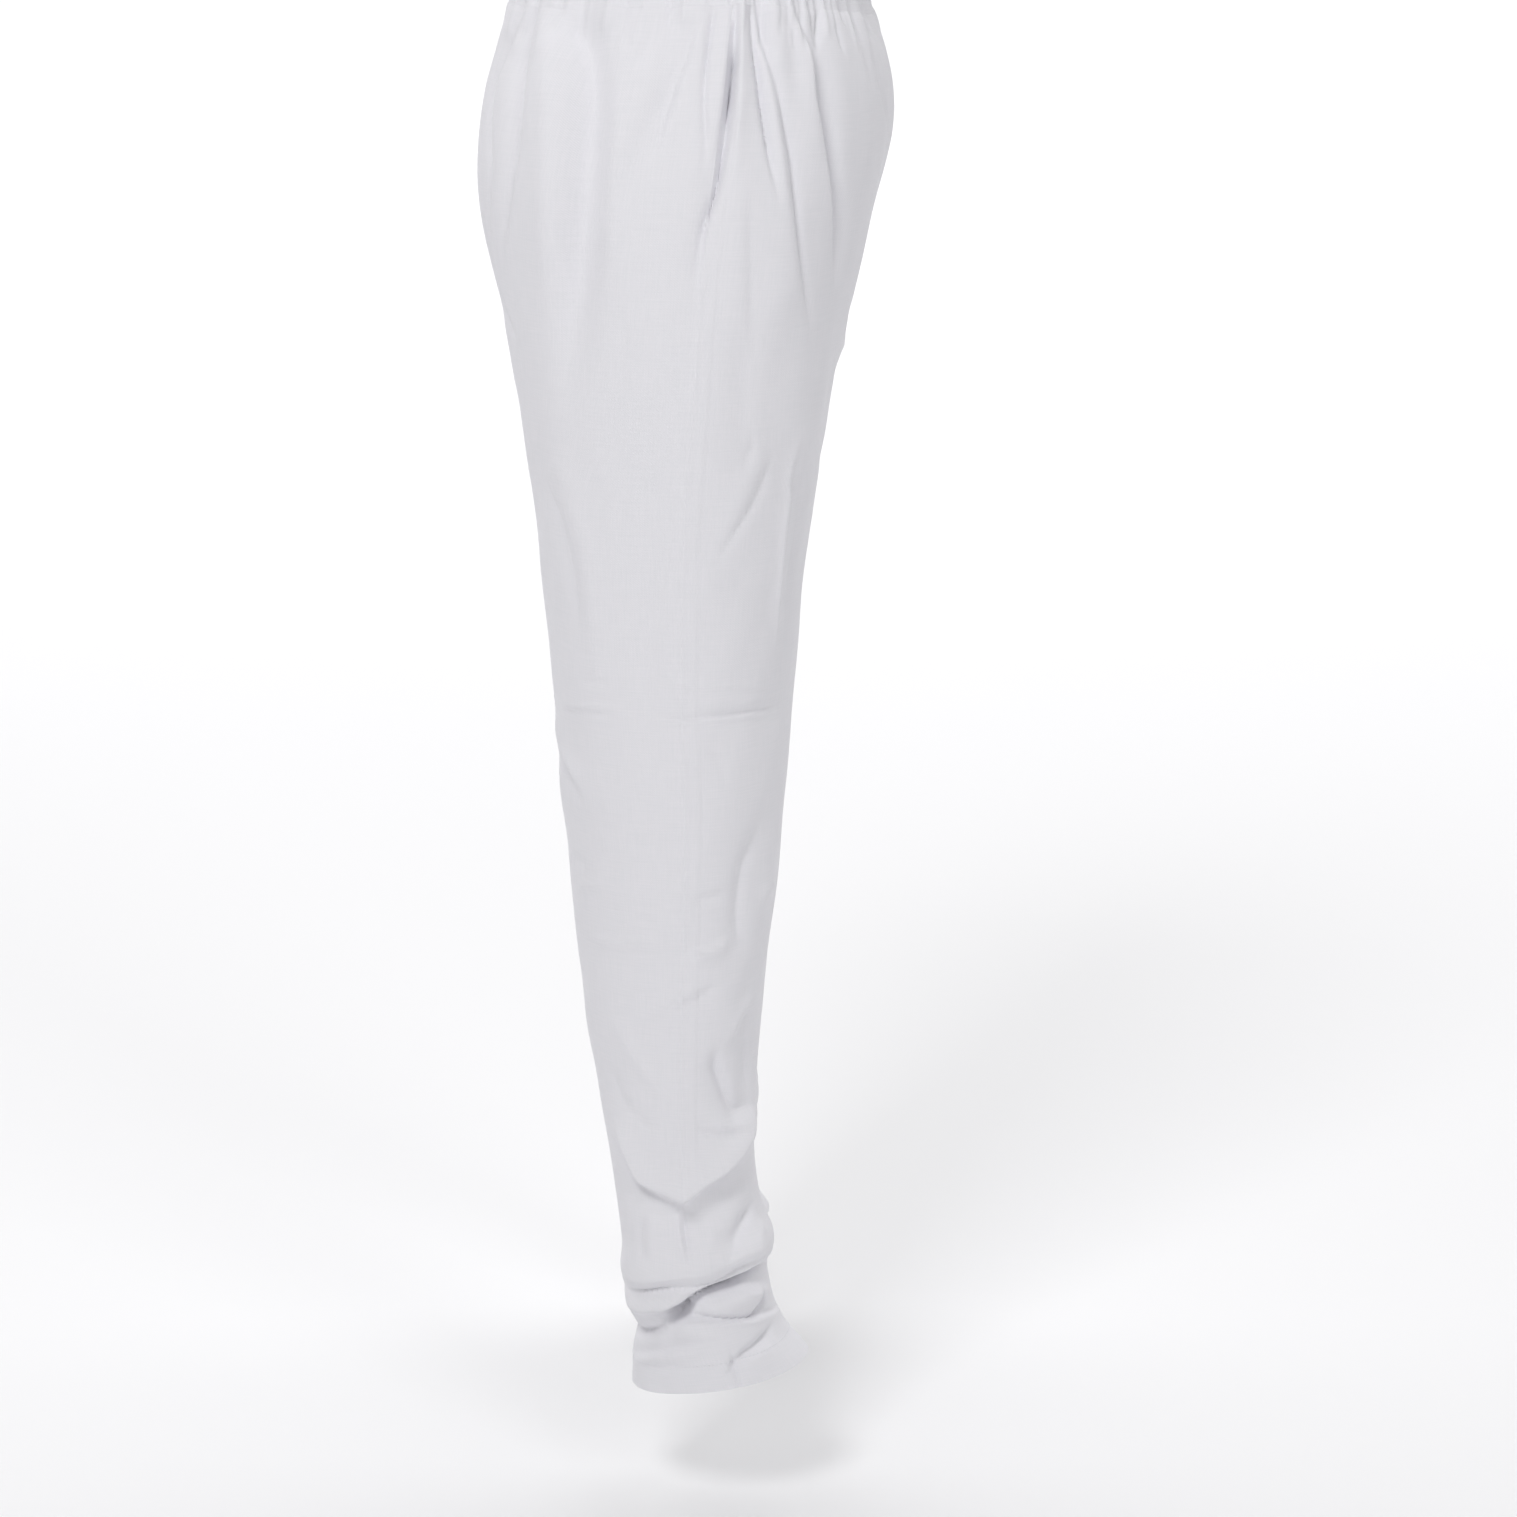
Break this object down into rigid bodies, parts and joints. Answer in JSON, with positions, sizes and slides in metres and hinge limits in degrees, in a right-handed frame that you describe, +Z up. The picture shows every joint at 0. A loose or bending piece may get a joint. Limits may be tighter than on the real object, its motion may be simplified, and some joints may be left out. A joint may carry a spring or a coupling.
{
  "type": "pyjama pants",
  "caption": "Worn white cotton pyjama pants, gathered onto a plain waistband, with long narrow legs pushed up into rolls above turned-up hems.",
  "frame": {"origin": "middle of the waistband, half way up it, where the wearer's waist holds the garment", "axes": "+Z up, front of the garment towards -Y, the wearer's right leg towards -X"},
  "size_m": [0.4434, 0.2973, 1.0439],
  "materials": {
    "cotton": "matt woven cotton",
    "waistband": "matt woven cotton, doubled"
  },
  "bodies": {
    "root": {"right_front": "cotton", "right_back": "cotton", "left_front": "cotton", "left_back": "cotton", "right_hem": "cotton", "left_hem": "cotton", "waistband": "waistband"}
  },
  "joints": []
}
